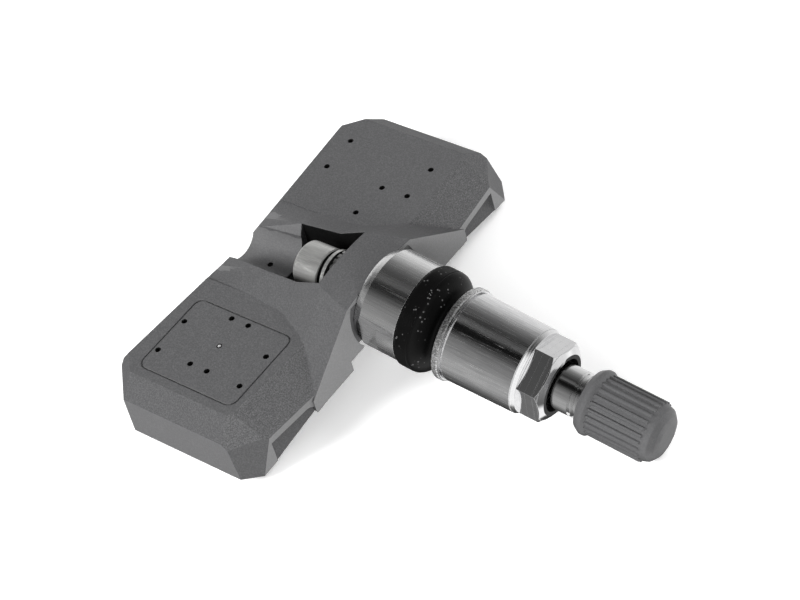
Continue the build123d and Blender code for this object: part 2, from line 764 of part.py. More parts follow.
# Valve cap
with BuildPart() as valve_cap:
    flange_front = cap_rear + cap_flange_length
    seal_front = seal_rear + seal_thickness
    cap_bore = thread_radius + cap_thread_play
    with BuildSketch(valve_profile):
        with BuildLine():
            Polyline((cap_rear, cap_bore), (cap_rear, cap_flange_edge),
                     (cap_rear + 0.9, cap_flange_radius), (flange_front - 0.7, cap_flange_radius),
                     (flange_front, cap_body_radius), (cap_shoulder, cap_body_radius))
            Polyline((cap_shoulder, cap_body_radius),
                     *[(cap_shoulder + (cap_tip - cap_shoulder) * sin(radians(turn)),
                        cap_tip_flat + (cap_body_radius - cap_tip_flat) * cos(radians(turn)))
                       for turn in (30, 60)],
                     (cap_tip, cap_tip_flat))
            Polyline((cap_tip, cap_tip_flat), (cap_tip, 0), (seal_front + cap_well_depth, 0),
                     (seal_front + cap_well_depth, seal_bore_radius),
                     (seal_front, seal_bore_radius), (seal_front, seal_radius + seal_play),
                     (seal_rear, seal_radius + seal_play), (seal_rear, cap_bore), (cap_rear, cap_bore))
        make_face()
    revolve(axis=valve_axis)
    # grip ribs
    rib_outer = cap_body_radius + cap_rib_height
    with BuildSketch(station(flange_front - 0.2)):
        with PolarLocations(cap_body_radius, cap_rib_count):
            half = cap_rib_width / 2
            Polygon((-0.3, -half), (0, -half), (cap_rib_height, -half / 2), (cap_rib_height, half / 2),
                    (0, half), (-0.3, half), align=None)
    extrude(amount=cap_shoulder - flange_front + 0.2)

# Valve core: threaded head and barrel in one body
with BuildPart() as valve_core_body:
    thread_front = core_thread_rear + core_thread_length
    chamber_front_station = thread_front - core_drive_depth - core_wall
    with BuildSketch(valve_profile):
        with BuildLine():
            Polyline((core_barrel_rear, core_guide_radius), (core_barrel_rear, core_barrel_radius),
                     (core_thread_rear, core_barrel_radius), (core_thread_rear, core_thread_radius),
                     (thread_front, core_thread_radius), (thread_front, core_chamber_radius),
                     (core_barrel_rear + core_wall, core_chamber_radius),
                     (core_barrel_rear + core_wall, core_guide_radius), close=True)
        make_face()
    revolve(axis=valve_axis)
    # slot for the core tool
    with BuildSketch(station(thread_front - core_drive_depth)):
        Rectangle(core_drive_width, 3 * core_thread_radius)
    extrude(amount=core_drive_depth, mode=Mode.SUBTRACT)

# Rubber ring that seals the core in the stem
with BuildPart() as core_seal:
    with BuildSketch(station(core_thread_rear - core_seal_thickness)):
        Circle(core_seal_radius)
        Circle(core_barrel_radius, mode=Mode.SUBTRACT)
    extrude(amount=core_seal_thickness)

# Pin with its sealing plate, which opens the valve when pressed
with BuildPart() as core_pin:
    collar_front = thread_front - core_drive_depth - 0.4
    collar_rear = collar_front - pin_collar_length
    with BuildSketch(valve_profile):
        with BuildLine():
            Polyline((core_barrel_rear - pin_plate_length, 0),
                     (core_barrel_rear - pin_plate_length, pin_plate_radius),
                     (core_barrel_rear, pin_plate_radius), (core_barrel_rear, pin_radius),
                     (collar_rear, pin_radius), (collar_rear, pin_collar_radius),
                     (collar_front, pin_collar_radius), (collar_front, pin_radius),
                     (thread_front, pin_radius), (thread_front, pin_head_radius),
                     (thread_front + pin_head_length - 0.2, pin_head_radius),
                     (thread_front + pin_head_length, pin_radius),
                     (thread_front + pin_head_length, 0), close=True)
        make_face()
    revolve(axis=valve_axis)

# Spring that holds the pin closed
with BuildPart() as core_spring:
    spring_rear = core_barrel_rear + core_wall + spring_wire / 2
    spring_length = collar_rear - spring_wire / 2 - spring_rear
    spring_start = (spring_rear * axis_direction[0], 0, spring_rear * axis_direction[2])
    with BuildLine() as coil:
        Helix(pitch=spring_length / spring_turns, height=spring_length, radius=spring_radius,
              center=spring_start, direction=axis_direction)
    with BuildSketch(Plane(origin=coil.line @ 0, z_dir=coil.line % 0)):
        RegularPolygon(spring_wire / 2, 4)
    sweep()

# Serrated washer under the screw
with BuildPart() as screw_washer:
    with BuildSketch(across(screw_seat)):
        with Locations((0, screw_height)):
            Circle(lock_washer_radius)
            Circle(screw_shank_radius + 0.1, mode=Mode.SUBTRACT)
    extrude(amount=lock_washer_thickness)
    with BuildSketch(across(screw_seat)):
        with Locations((0, screw_height)):
            with PolarLocations(lock_washer_radius, lock_washer_teeth):
                Rectangle(2 * lock_tooth_depth, lock_tooth_width)
    extrude(amount=lock_washer_thickness / 2, mode=Mode.SUBTRACT)

# Mounting screw
with BuildPart() as mounting_screw:
    flange_rear = screw_seat - screw_foot_length - screw_flange_length
    neck_rear = flange_rear - screw_neck_length
    head_rear = neck_rear - screw_head_length
    with BuildSketch(screw_profile):
        with BuildLine():
            Polyline((head_rear, 0), (head_rear, screw_head_radius - screw_head_edge),
                     (head_rear + screw_head_edge, screw_head_radius), (neck_rear, screw_head_radius),
                     (neck_rear + 0.3, screw_neck_radius), (flange_rear, screw_neck_radius),
                     (flange_rear, screw_flange_radius - 0.15),
                     (flange_rear + 0.15, screw_flange_radius),
                     (screw_seat - screw_foot_length, screw_flange_radius),
                     (screw_seat - screw_foot_length, screw_foot_radius),
                     (screw_seat, screw_foot_radius), (screw_seat, screw_shank_radius),
                     (screw_end - 0.4, screw_shank_radius), (screw_end, screw_shank_radius - 0.4),
                     (screw_end, 0), close=True)
        make_face()
    revolve(axis=screw_axis)
    with BuildSketch(Plane(origin=(head_rear, 0, screw_height), x_dir=(0, 1, 0), z_dir=(1, 0, 0))):
        RegularPolygon(socket_flats / 2, 6, major_radius=False)
    extrude(amount=socket_depth, mode=Mode.SUBTRACT)

pieces = {
    "housing_shell": housing_shell, "base_cover": base_cover, "circuit_board": circuit_board,
    "sensor_chip": sensor_chip, "pressure_port_filter": pressure_port_filter,
    "transmitter_chip": transmitter_chip, "crystal_can": crystal_can,
    "chip_capacitors": chip_capacitors, "antenna_core": antenna_core, "antenna_coil": antenna_coil,
    "battery_cell": battery_cell, "battery_lead_negative": battery_lead_negative,
    "battery_lead_positive": battery_lead_positive, "valve_stem": valve_stem,
    "rubber_grommet": rubber_grommet, "clamp_washer": clamp_washer, "sleeve_nut": sleeve_nut,
    "cap_seal": cap_seal, "valve_cap": valve_cap, "valve_core_body": valve_core_body,
    "core_seal": core_seal, "core_pin": core_pin, "core_spring": core_spring,
    "screw_washer": screw_washer, "mounting_screw": mounting_screw,
}
os.makedirs("parts", exist_ok=True)
for name, piece in pieces.items():
    piece.part.label = name
    export_step(piece.part, f"parts/{name}.step")
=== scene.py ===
# %% [markdown]
# A clamp-in tyre pressure sensor, dressed over its imported solids.
# The real one is a dark moulded housing that lies in the well of a car's rim,
# with a turned metal valve screwed to it. The solids bring the right shapes and
# sizes, so this file adds what they lack: rounded edges, threads and the surface
# of each material.

# %% Load the imported model as the fixed frame
import math

import bmesh
import bpy
from mathutils import Matrix, Vector


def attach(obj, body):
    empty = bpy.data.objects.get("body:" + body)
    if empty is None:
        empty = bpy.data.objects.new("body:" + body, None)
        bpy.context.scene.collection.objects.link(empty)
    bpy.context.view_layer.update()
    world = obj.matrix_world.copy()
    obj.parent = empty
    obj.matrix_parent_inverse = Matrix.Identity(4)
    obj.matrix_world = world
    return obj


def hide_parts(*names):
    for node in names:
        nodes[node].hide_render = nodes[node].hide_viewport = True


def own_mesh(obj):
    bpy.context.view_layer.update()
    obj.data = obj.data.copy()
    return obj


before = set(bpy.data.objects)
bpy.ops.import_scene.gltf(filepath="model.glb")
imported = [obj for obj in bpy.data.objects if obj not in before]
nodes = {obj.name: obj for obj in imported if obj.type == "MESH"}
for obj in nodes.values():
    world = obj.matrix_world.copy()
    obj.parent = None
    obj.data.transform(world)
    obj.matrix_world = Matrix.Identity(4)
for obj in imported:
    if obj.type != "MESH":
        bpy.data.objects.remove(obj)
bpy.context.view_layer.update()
MM = 0.001
print("nodes in the frame:", len(nodes))

# %% [markdown]
# The valve doesn't run along X: it leans down by 8.5 degrees. Every turned piece
# shares that axis, so one matrix takes a shape that was made round X and lays it
# on the valve. The same angle goes into the Mapping node of each turned finish.

# %% The valve's axis
LEAN = math.radians(8.5)
ON_VALVE = Matrix.Rotation(LEAN, 4, "Y")
VALVE_AXIS = ON_VALVE @ Vector((1, 0, 0))
print("valve axis:", [round(v, 4) for v in VALVE_AXIS])

# %% [markdown]
# The camera stands where the photographer's did, a little in front of the valve
# and well above it. A long lens keeps the two wings nearly parallel. Its axes are
# given as three directions, because that is what the measured view gives.

# %% Camera
RIGHT = Vector((0.7861, 0.5824, -0.2070)).normalized()
FORWARD = Vector((-0.5315, 0.4660, -0.7074)).normalized()
UP = RIGHT.cross(FORWARD).normalized()
camera_data = bpy.data.cameras.new("camera")
camera_data.sensor_width = 36
camera_data.lens = 108
camera_data.clip_start = 0.01
camera = bpy.data.objects.new("camera", camera_data)
bpy.context.scene.collection.objects.link(camera)
turn = Matrix((RIGHT, UP, -FORWARD)).transposed().to_4x4()
camera.matrix_world = Matrix.Translation(Vector((194.2, -180.3, 276.1)) * MM) @ turn
bpy.context.scene.camera = camera
print("camera stands", round(camera.matrix_world.translation.length / MM), "mm away")

# %% [markdown]
# The sensor lies on the rear of its housing and on the cap, so the floor under it
# tips a little in its frame. The camera sees plain white. Polished metal doesn't
# see that white but a studio of its own: a ramp of greys round the valve's axis,
# dark above the camera, which gives the black band along the metal, and one white
# pane ahead of the valve. Light Path keeps the two apart, and the floor and the
# lamps are hidden from reflections.


# %% Floor, world and lamps
def link(tree, start, end):
    tree.links.new(start, end)


FLOOR_HALF_SIZE = 3
FLOOR_BOUNCE = 0.3
FLOOR_SEEN = 0.9
FLOOR_GLOW = 0.3
REST_REAR = Vector((-44.0, 0, -7.9)) * MM
REST_FRONT = Vector((37.2, 0, -10.62)) * MM
floor_tilt = math.atan2(REST_REAR.z - REST_FRONT.z, REST_FRONT.x - REST_REAR.x)
floor_mesh = bpy.data.meshes.new("floor")
bm = bmesh.new()
bmesh.ops.create_grid(bm, x_segments=1, y_segments=1, size=FLOOR_HALF_SIZE)
bmesh.ops.transform(
    bm, matrix=Matrix.Translation(REST_REAR) @ Matrix.Rotation(floor_tilt, 4, "Y"), verts=bm.verts
)
bm.to_mesh(floor_mesh)
bm.free()
floor = bpy.data.objects.new("floor", floor_mesh)
bpy.context.scene.collection.objects.link(floor)

floor_look = bpy.data.materials.new("pale_floor")
floor_look.use_nodes = True
floor_shader = floor_look.node_tree.nodes["Principled BSDF"]
floor_shader.inputs["Roughness"].default_value = 0.9
floor_shader.inputs["Specular IOR Level"].default_value = 0.1
floor_path = floor_look.node_tree.nodes.new("ShaderNodeLightPath")
floor_tone = floor_look.node_tree.nodes.new("ShaderNodeMix")
floor_tone.data_type = "RGBA"
floor_tone.inputs["A"].default_value = (FLOOR_BOUNCE, FLOOR_BOUNCE, FLOOR_BOUNCE, 1)
floor_tone.inputs["B"].default_value = (FLOOR_SEEN, FLOOR_SEEN, FLOOR_SEEN, 1)
link(floor_look.node_tree, floor_path.outputs["Is Camera Ray"], floor_tone.inputs["Factor"])
link(floor_look.node_tree, floor_tone.outputs["Result"], floor_shader.inputs["Base Color"])
floor_shader.inputs["Emission Color"].default_value = (1, 1, 1, 1)
floor_glow = floor_look.node_tree.nodes.new("ShaderNodeMath")
floor_glow.operation = "MULTIPLY"
floor_glow.inputs[1].default_value = FLOOR_GLOW
link(floor_look.node_tree, floor_path.outputs["Is Camera Ray"], floor_glow.inputs[0])
link(floor_look.node_tree, floor_glow.outputs[0], floor_shader.inputs["Emission Strength"])
floor_mesh.materials.append(floor_look)
floor.visible_glossy = False

world = bpy.data.worlds.new("studio")
world.use_nodes = True
bpy.context.scene.world = world
tree = world.node_tree
tree.nodes.clear()
TO_CAMERA = camera.matrix_world.translation.normalized()
FACING = (TO_CAMERA - VALVE_AXIS * TO_CAMERA.dot(VALVE_AXIS)).normalized()
OVERHEAD = FACING.cross(VALVE_AXIS).normalized()
direction = tree.nodes.new("ShaderNodeTexCoord").outputs["Generated"]


def share_along(axis):
    node = tree.nodes.new("ShaderNodeVectorMath")
    node.operation = "DOT_PRODUCT"
    node.inputs[1].default_value = tuple(axis)
    link(tree, direction, node.inputs[0])
    return node.outputs["Value"]


round_valve = tree.nodes.new("ShaderNodeMath")
round_valve.operation = "ARCTAN2"
link(tree, share_along(OVERHEAD), round_valve.inputs[0])
link(tree, share_along(FACING), round_valve.inputs[1])
spread = tree.nodes.new("ShaderNodeMapRange")
spread.inputs["From Min"].default_value = -math.pi
spread.inputs["From Max"].default_value = math.pi
link(tree, round_valve.outputs[0], spread.inputs["Value"])
ramp = tree.nodes.new("ShaderNodeValToRGB")
link(tree, spread.outputs["Result"], ramp.inputs["Fac"])
ROOM = [
    (-180, 0.04), (-150, 0.06), (-126, 0.16), (-104, 0.38), (-75, 0.4), (-50, 0.26),
    (-26, 0.2), (-8, 0.08), (3, 0.008), (20, 0.006), (29, 0.14), (42, 0.03),
    (62, 0.09), (84, 0.22), (100, 0.5), (126, 0.75), (180, 0.9),
]
while len(ramp.color_ramp.elements) < len(ROOM):
    ramp.color_ramp.elements.new(0.5)
for stop, (degrees, shade) in zip(ramp.color_ramp.elements, ROOM):
    stop.position = (degrees + 180) / 360
    stop.color = (shade, shade, shade, 1)
PANE_STARTS = (0.26, 0.4)
PANE_ENDS = (0.58, 0.74)
PANE_DROP = 0.3


def fade(value, reach, first, last):
    """Goes smoothly from the first number to the last while the value crosses its reach."""
    node = tree.nodes.new("ShaderNodeMapRange")
    node.interpolation_type = "SMOOTHSTEP"
    node.inputs["From Min"].default_value, node.inputs["From Max"].default_value = reach
    node.inputs["To Min"].default_value = first
    node.inputs["To Max"].default_value = last
    link(tree, value, node.inputs["Value"])
    return node.outputs["Result"]


pane = tree.nodes.new("ShaderNodeMath")
pane.operation = "MULTIPLY"
link(tree, fade(share_along(VALVE_AXIS - OVERHEAD * PANE_DROP), PANE_STARTS, 0.0, 1.0), pane.inputs[0])
link(tree, fade(share_along(VALVE_AXIS), PANE_ENDS, 1.0, 0.0), pane.inputs[1])
window = tree.nodes.new("ShaderNodeMix")
window.data_type = "RGBA"
window.inputs["B"].default_value = (1, 1, 1, 1)
link(tree, pane.outputs[0], window.inputs["Factor"])
link(tree, ramp.outputs["Color"], window.inputs["A"])
path = tree.nodes.new("ShaderNodeLightPath")
EVEN_LIGHT = 0.42


def background(strength):
    node = tree.nodes.new("ShaderNodeBackground")
    node.inputs["Color"].default_value = (1, 1, 1, 1)
    node.inputs["Strength"].default_value = strength
    return node


def choose(kind_of_ray, others, these):
    """One background for the rays of a kind, and another for the others."""
    node = tree.nodes.new("ShaderNodeMixShader")
    link(tree, path.outputs[kind_of_ray], node.inputs["Fac"])
    link(tree, others.outputs[0], node.inputs[1])
    link(tree, these.outputs[0], node.inputs[2])
    return node


room = background(1.0)
link(tree, window.outputs["Result"], room.inputs["Color"])
reflected = choose("Is Glossy Ray", background(EVEN_LIGHT), room)
seen = choose("Is Camera Ray", reflected, background(1.0))
world_out = tree.nodes.new("ShaderNodeOutputWorld")
link(tree, seen.outputs[0], world_out.inputs["Surface"])


def area_lamp(name, place, size, power):
    """A soft square lamp that faces the object."""
    data = bpy.data.lights.new(name, "AREA")
    data.shape = "SQUARE"
    data.size = size
    data.energy = power
    lamp = bpy.data.objects.new(name, data)
    bpy.context.scene.collection.objects.link(lamp)
    spot = Vector(place)
    facing = (-spot).to_track_quat("-Z", "Y").to_matrix().to_4x4()
    lamp.matrix_world = Matrix.Translation(spot) @ facing
    lamp.visible_glossy = False


area_lamp("key_lamp", (-0.42, -0.56, 0.38), 0.3, 9)
area_lamp("back_lamp", (0.1, 0.6, 0.45), 0.35, 3.0)
area_lamp("front_lamp", (0.62, -0.3, 0.15), 0.25, 4.5)
bpy.context.scene.view_settings.view_transform = "Standard"
print("floor tilt in degrees:", round(math.degrees(floor_tilt), 2))

# %% [markdown]
# Several finishes share an effect, so each effect is a node group that is built
# once. Grain is the fine pitting of moulded plastic and rubber. Turning marks are
# the rings that a lathe leaves, with faint streaks along the piece.


# %% Node group: moulded grain
def new_group(name, inputs, outputs):
    group = bpy.data.node_groups.new(name, "ShaderNodeTree")
    for label, kind, value in inputs:
        socket = group.interface.new_socket(label, in_out="INPUT", socket_type=kind)
        if value is not None:
            socket.default_value = value
    for label, kind in outputs:
        group.interface.new_socket(label, in_out="OUTPUT", socket_type=kind)
    return group, group.nodes.new("NodeGroupInput"), group.nodes.new("NodeGroupOutput")


def math_node(tree, operation, first, second=None, clamp=False):
    node = tree.nodes.new("ShaderNodeMath")
    node.operation = operation
    node.use_clamp = clamp
    for place, value in enumerate((first, second)):
        if value is None:
            continue
        if isinstance(value, (int, float)):
            node.inputs[place].default_value = value
        else:
            link(tree, value, node.inputs[place])
    return node.outputs[0]


def noise_node(tree, vector, scale, detail=3.0, roughness=0.5):
    node = tree.nodes.new("ShaderNodeTexNoise")
    node.inputs["Detail"].default_value = detail
    node.inputs["Roughness"].default_value = roughness
    if isinstance(scale, (int, float)):
        node.inputs["Scale"].default_value = scale
    else:
        link(tree, scale, node.inputs["Scale"])
    link(tree, vector, node.inputs["Vector"])
    return node.outputs["Fac"]


grain_group, grain_in, grain_out = new_group(
    "moulded_grain",
    [("Vector", "NodeSocketVector", None), ("Grain Scale", "NodeSocketFloat", 2500.0)],
    [("Height", "NodeSocketFloat"), ("Speckle", "NodeSocketFloat"), ("Cloud", "NodeSocketFloat")],
)
fine = noise_node(grain_group, grain_in.outputs["Vector"], grain_in.outputs["Grain Scale"], 4.0, 0.7)
cells = grain_group.nodes.new("ShaderNodeTexVoronoi")
link(grain_group, grain_in.outputs["Vector"], cells.inputs["Vector"])
link(grain_group, grain_in.outputs["Grain Scale"], cells.inputs["Scale"])
pits = math_node(grain_group, "MULTIPLY", cells.outputs["Distance"], 0.6)
link(grain_group, math_node(grain_group, "ADD", fine, pits), grain_out.inputs["Height"])
bright = math_node(grain_group, "SUBTRACT", fine, 0.42)
link(grain_group, math_node(grain_group, "MULTIPLY", bright, 4.0, True), grain_out.inputs["Speckle"])
cloud = noise_node(grain_group, grain_in.outputs["Vector"], 160.0, 3.0)
link(grain_group, cloud, grain_out.inputs["Cloud"])
print("group made:", grain_group.name)

# %% Node group: turning marks round X
turned_group, turned_in, turned_out = new_group(
    "turning_marks",
    [
        ("Vector", "NodeSocketVector", None),
        ("Rings", "NodeSocketFloat", 1800.0),
        ("Streaks", "NodeSocketFloat", 6.0),
    ],
    [
        ("Height", "NodeSocketFloat"),
        ("Streak", "NodeSocketFloat"),
        ("Lines", "NodeSocketFloat"),
        ("Blotch", "NodeSocketFloat"),
        ("Scratches", "NodeSocketFloat"),
        ("Ring Scratches", "NodeSocketFloat"),
    ],
)
parts = turned_group.nodes.new("ShaderNodeSeparateXYZ")
link(turned_group, turned_in.outputs["Vector"], parts.inputs[0])
ring_vector = turned_group.nodes.new("ShaderNodeCombineXYZ")
link(turned_group, parts.outputs["X"], ring_vector.inputs["X"])
rings = noise_node(turned_group, ring_vector.outputs[0], turned_in.outputs["Rings"], 3.0, 0.6)
link(turned_group, rings, turned_out.inputs["Height"])
angle = math_node(turned_group, "ARCTAN2", parts.outputs["Y"], parts.outputs["Z"])
streak_vector = turned_group.nodes.new("ShaderNodeCombineXYZ")
link(turned_group, angle, streak_vector.inputs["X"])
link(turned_group, math_node(turned_group, "MULTIPLY", parts.outputs["X"], 40.0), streak_vector.inputs["Y"])
streaks = noise_node(turned_group, streak_vector.outputs[0], turned_in.outputs["Streaks"], 4.0, 0.65)
link(turned_group, streaks, turned_out.inputs["Streak"])
line_vector = turned_group.nodes.new("ShaderNodeCombineXYZ")
link(turned_group, angle, line_vector.inputs["X"])
link(turned_group, math_node(turned_group, "MULTIPLY", parts.outputs["X"], 3.0), line_vector.inputs["Y"])
lines = noise_node(turned_group, line_vector.outputs[0], 26.0, 5.0, 0.75)
link(turned_group, lines, turned_out.inputs["Lines"])
blotch = noise_node(turned_group, turned_in.outputs["Vector"], 260.0, 4.0, 0.6)
link(turned_group, blotch, turned_out.inputs["Blotch"])
for label, source, start in (("Scratches", lines, 0.57), ("Ring Scratches", rings, 0.55)):
    peak = math_node(turned_group, "MULTIPLY", math_node(turned_group, "SUBTRACT", source, start), 14.0, True)
    link(turned_group, peak, turned_out.inputs[label])
print("group made:", turned_group.name)

# %% [markdown]
# A finish starts as one shader with its constant values on its own sockets. What
# changes over the surface comes in through a few small helpers: a tint between
# two colours, a roughness range and a bump.


# %% Helpers for finishes
def finish(name, color, roughness, metallic=0.0, specular=0.5):
    look = bpy.data.materials.new(name)
    look.use_nodes = True
    shader = look.node_tree.nodes["Principled BSDF"]
    shader.inputs["Base Color"].default_value = (*color, 1)
    shader.inputs["Roughness"].default_value = roughness
    shader.inputs["Metallic"].default_value = metallic
    shader.inputs["Specular IOR Level"].default_value = specular
    return look, look.node_tree, shader


def object_vector(tree, lean=0.0, centre=(0, 0, 0)):
    """Object coordinates, moved to a centre and turned so that X runs along the piece."""
    coordinates = tree.nodes.new("ShaderNodeTexCoord")
    mapping = tree.nodes.new("ShaderNodeMapping")
    mapping.inputs["Rotation"].default_value = (0, -lean, 0)
    mapping.inputs["Location"].default_value = tuple(-c for c in centre)
    link(tree, coordinates.outputs["Object"], mapping.inputs["Vector"])
    return mapping.outputs["Vector"]


def place_group(tree, group, vector, **values):
    node = tree.nodes.new("ShaderNodeGroup")
    node.node_tree = group
    link(tree, vector, node.inputs["Vector"])
    for label, value in values.items():
        node.inputs[label.replace("_", " ").title()].default_value = value
    return node


def tint(tree, shader, mask, dark, light):
    mix = tree.nodes.new("ShaderNodeMix")
    mix.data_type = "RGBA"
    mix.inputs["A"].default_value = (*dark, 1)
    mix.inputs["B"].default_value = (*light, 1)
    link(tree, mask, mix.inputs["Factor"])
    link(tree, mix.outputs["Result"], shader.inputs["Base Color"])


def rough_range(tree, shader, mask, low, high):
    span = tree.nodes.new("ShaderNodeMapRange")
    span.inputs["To Min"].default_value = low
    span.inputs["To Max"].default_value = high
    link(tree, mask, span.inputs["Value"])
    link(tree, span.outputs["Result"], shader.inputs["Roughness"])


def bump(tree, shader, height, strength, distance, soft_edge=0.0):
    node = tree.nodes.new("ShaderNodeBump")
    node.inputs["Strength"].default_value = strength
    node.inputs["Distance"].default_value = distance
    link(tree, height, node.inputs["Height"])
    if soft_edge:
        rounded = tree.nodes.new("ShaderNodeBevel")
        rounded.samples = 8
        rounded.inputs["Radius"].default_value = soft_edge
        link(tree, rounded.outputs["Normal"], node.inputs["Normal"])
    link(tree, node.outputs["Normal"], shader.inputs["Normal"])


def grained(name, dark, light, roughness, scale, strength, lean=0.0, soft_edge=0.0):
    """Moulded plastic or rubber: two close tones, fine pits and a soft sheen."""
    look, tree, shader = finish(name, dark, roughness[0])
    grain = place_group(tree, grain_group, object_vector(tree, lean), grain_scale=scale)
    tint(tree, shader, grain.outputs["Speckle"], dark, light)
    rough_range(tree, shader, grain.outputs["Cloud"], *roughness)
    bump(tree, shader, grain.outputs["Height"], strength, 0.00006, soft_edge)
    return look


def turned(
    name, dark, light, roughness, rings, strength,
    lean=LEAN, centre=(0, 0, 0), lines=0.0, metal=1.0, soft_edge=0.0, scratch=0.0, ring_scratch=0.0,
):
    """Metal off a lathe: rings round the piece, and lines along it where it was drawn."""
    look, tree, shader = finish(name, light, roughness[0], metal)
    marks = place_group(tree, turned_group, object_vector(tree, lean, centre), rings=rings)
    drawn = math_node(tree, "MULTIPLY", math_node(tree, "SUBTRACT", marks.outputs["Lines"], 0.5), 1.5 * lines)
    tint(tree, shader, math_node(tree, "ADD", marks.outputs["Streak"], drawn, True), dark, light)
    rough_range(tree, shader, marks.outputs["Blotch"], *roughness)
    if scratch or ring_scratch:
        smooth_part = shader.inputs["Roughness"].links[0].from_socket
        along = math_node(tree, "MULTIPLY", marks.outputs["Scratches"], scratch)
        around = math_node(tree, "MULTIPLY", marks.outputs["Ring Scratches"], ring_scratch)
        rougher = math_node(tree, "ADD", along, around)
        link(tree, math_node(tree, "ADD", smooth_part, rougher, True), shader.inputs["Roughness"])
    height = math_node(tree, "MULTIPLY", marks.outputs["Height"], strength)
    grooves = math_node(tree, "MULTIPLY", marks.outputs["Lines"], lines)
    bump(tree, shader, math_node(tree, "ADD", height, grooves), 0.5, 0.00002, soft_edge)
    return look


print("helpers ready")

# %% Finishes
housing_look = grained(
    "dark_housing_plastic", (0.068, 0.068, 0.07), (0.105, 0.105, 0.107), (0.44, 0.58), 3800, 0.5,
    soft_edge=0.16 * MM,
)
# The sandy grain is real. Slopes facing the front take this lighter copy as painted light, and the other
# slopes the darker copy below as painted shade.
sandy_look = grained(
    "sandy_housing_painted_light_plastic", (0.062, 0.062, 0.064), (0.145, 0.145, 0.147), (0.5, 0.64), 4800, 0.9,
    soft_edge=0.16 * MM,
)
sandy_shaded_look = grained(
    "sandy_housing_painted_shade_plastic", (0.06, 0.06, 0.062), (0.112, 0.112, 0.114), (0.5, 0.62), 4800, 0.6,
    soft_edge=0.16 * MM,
)
# Painted light: the end walls are a lighter copy of the housing plastic, where more light falls.
end_wall_painted_light_look = grained(
    "end_wall_painted_light_plastic", (0.095, 0.095, 0.097), (0.125, 0.125, 0.127), (0.4, 0.55), 3400, 0.3,
    soft_edge=0.16 * MM,
)
# Painted light: the trough is a lighter copy of the housing plastic, where more light falls; it is also a
# little smoother.
trough_look = grained(
    "smooth_trough_painted_light_plastic", (0.115, 0.115, 0.117), (0.15, 0.15, 0.152), (0.4, 0.55), 3800, 0.3,
    soft_edge=0.16 * MM,
)
# Painted shade: the pocket round the screw's head is coloured nearly black where shade falls.
pocket_look = grained(
    "pocket_painted_shade_plastic", (0.002, 0.002, 0.002), (0.004, 0.004, 0.004), (0.8, 0.9), 3000, 0.3
)
# Painted light: the upright fronts are a much lighter copy of the housing plastic, for the light they catch;
# they are also smoother.
lip_painted_light_look = grained(
    "smooth_housing_lip_painted_light", (0.18, 0.18, 0.182), (0.22, 0.22, 0.222), (0.3, 0.42), 4200, 0.15,
    soft_edge=0.1 * MM,
)
pit_look = grained("pin_mark_shade", (0.004, 0.004, 0.004), (0.006, 0.006, 0.006), (0.8, 0.9), 3000, 0.1)
cover_look = grained("black_cover_plastic", (0.03, 0.03, 0.032), (0.05, 0.05, 0.052), (0.5, 0.62), 3000, 0.3)
cap_look = grained("grey_cap_plastic", (0.078, 0.078, 0.08), (0.1, 0.1, 0.102), (0.32, 0.44), 3800, 0.2)
seal_look = grained("black_seal_rubber", (0.015, 0.015, 0.016), (0.03, 0.03, 0.03), (0.4, 0.5), 2500, 0.2)
base_look = turned(
    "brushed_base_metal", (0.78, 0.78, 0.78), (1.0, 1.0, 1.0), (0.16, 0.28), 2600, 1.0,
    lines=1.6, soft_edge=0.1 * MM, scratch=0.2,
)
neck_look = turned(
    "polished_neck_metal", (0.7, 0.7, 0.7), (1.0, 1.0, 1.0), (0.04, 0.1), 1600, 0.3, lines=0.8
)
sleeve_look = turned(
    "polished_sleeve_metal", (0.66, 0.66, 0.67), (1.0, 1.0, 1.0), (0.05, 0.11), 2000, 0.1,
    lines=1.9, soft_edge=0.05 * MM, scratch=0.5,
)
hex_look = turned(
    "milled_hexagon_metal", (0.8, 0.8, 0.81), (1.0, 1.0, 1.0), (0.06, 0.14), 2400, 0.8,
    soft_edge=0.08 * MM, ring_scratch=0.6,
)
# Painted shade: the inside of the nut's mouth and the screw's neck are coloured nearly black where shade
# falls.
bore_shade_look = turned("bore_painted_shade_metal", (0.03, 0.03, 0.03), (0.06, 0.06, 0.06), (0.4, 0.6), 2600, 1.0)
SCREW_CENTRE = (0, 0, 2.3 * MM)
screw_look = turned(
    "satin_screw_metal", (0.42, 0.42, 0.41), (0.92, 0.92, 0.9), (0.3, 0.5), 2600, 1.2, 0.0, SCREW_CENTRE,
    lines=0.8, metal=0.8, ring_scratch=0.1,
)
washer_look = turned("zinc_lock_washer_metal", (0.35, 0.35, 0.35), (0.8, 0.8, 0.79), (0.4, 0.62), 900, 1.5)
core_look = turned("turned_core_brass", (0.55, 0.4, 0.16), (0.86, 0.68, 0.32), (0.2, 0.4), 2600, 1.0)


# %% Black rubber with dust on it
def dusty_rubber(name):
    """Nearly black rubber with a soft sheen and a few pale specks of dust."""
    look, tree, shader = finish(name, (0.003, 0.003, 0.003), 0.34, 0.0, 0.09)
    vector = object_vector(tree, LEAN)
    grain = place_group(tree, grain_group, vector, grain_scale=2600.0)
    rough_range(tree, shader, grain.outputs["Cloud"], 0.26, 0.42)
    bump(tree, shader, grain.outputs["Height"], 0.35, 0.00003)
    specks = tree.nodes.new("ShaderNodeTexVoronoi")
    specks.inputs["Scale"].default_value = 1500.0
    link(tree, vector, specks.inputs["Vector"])
    near = math_node(tree, "SUBTRACT", 0.26, specks.outputs["Distance"])
    near = math_node(tree, "MULTIPLY", near, 12.0, True)
    patches = noise_node(tree, vector, 420.0, 2.0)
    patches = math_node(tree, "SUBTRACT", patches, 0.53)
    patches = math_node(tree, "MULTIPLY", patches, 9.0, True)
    tint(tree, shader, math_node(tree, "MULTIPLY", near, patches), (0.003, 0.003, 0.003), (0.12, 0.12, 0.12))
    return look


rubber_look = dusty_rubber("black_grommet_rubber")


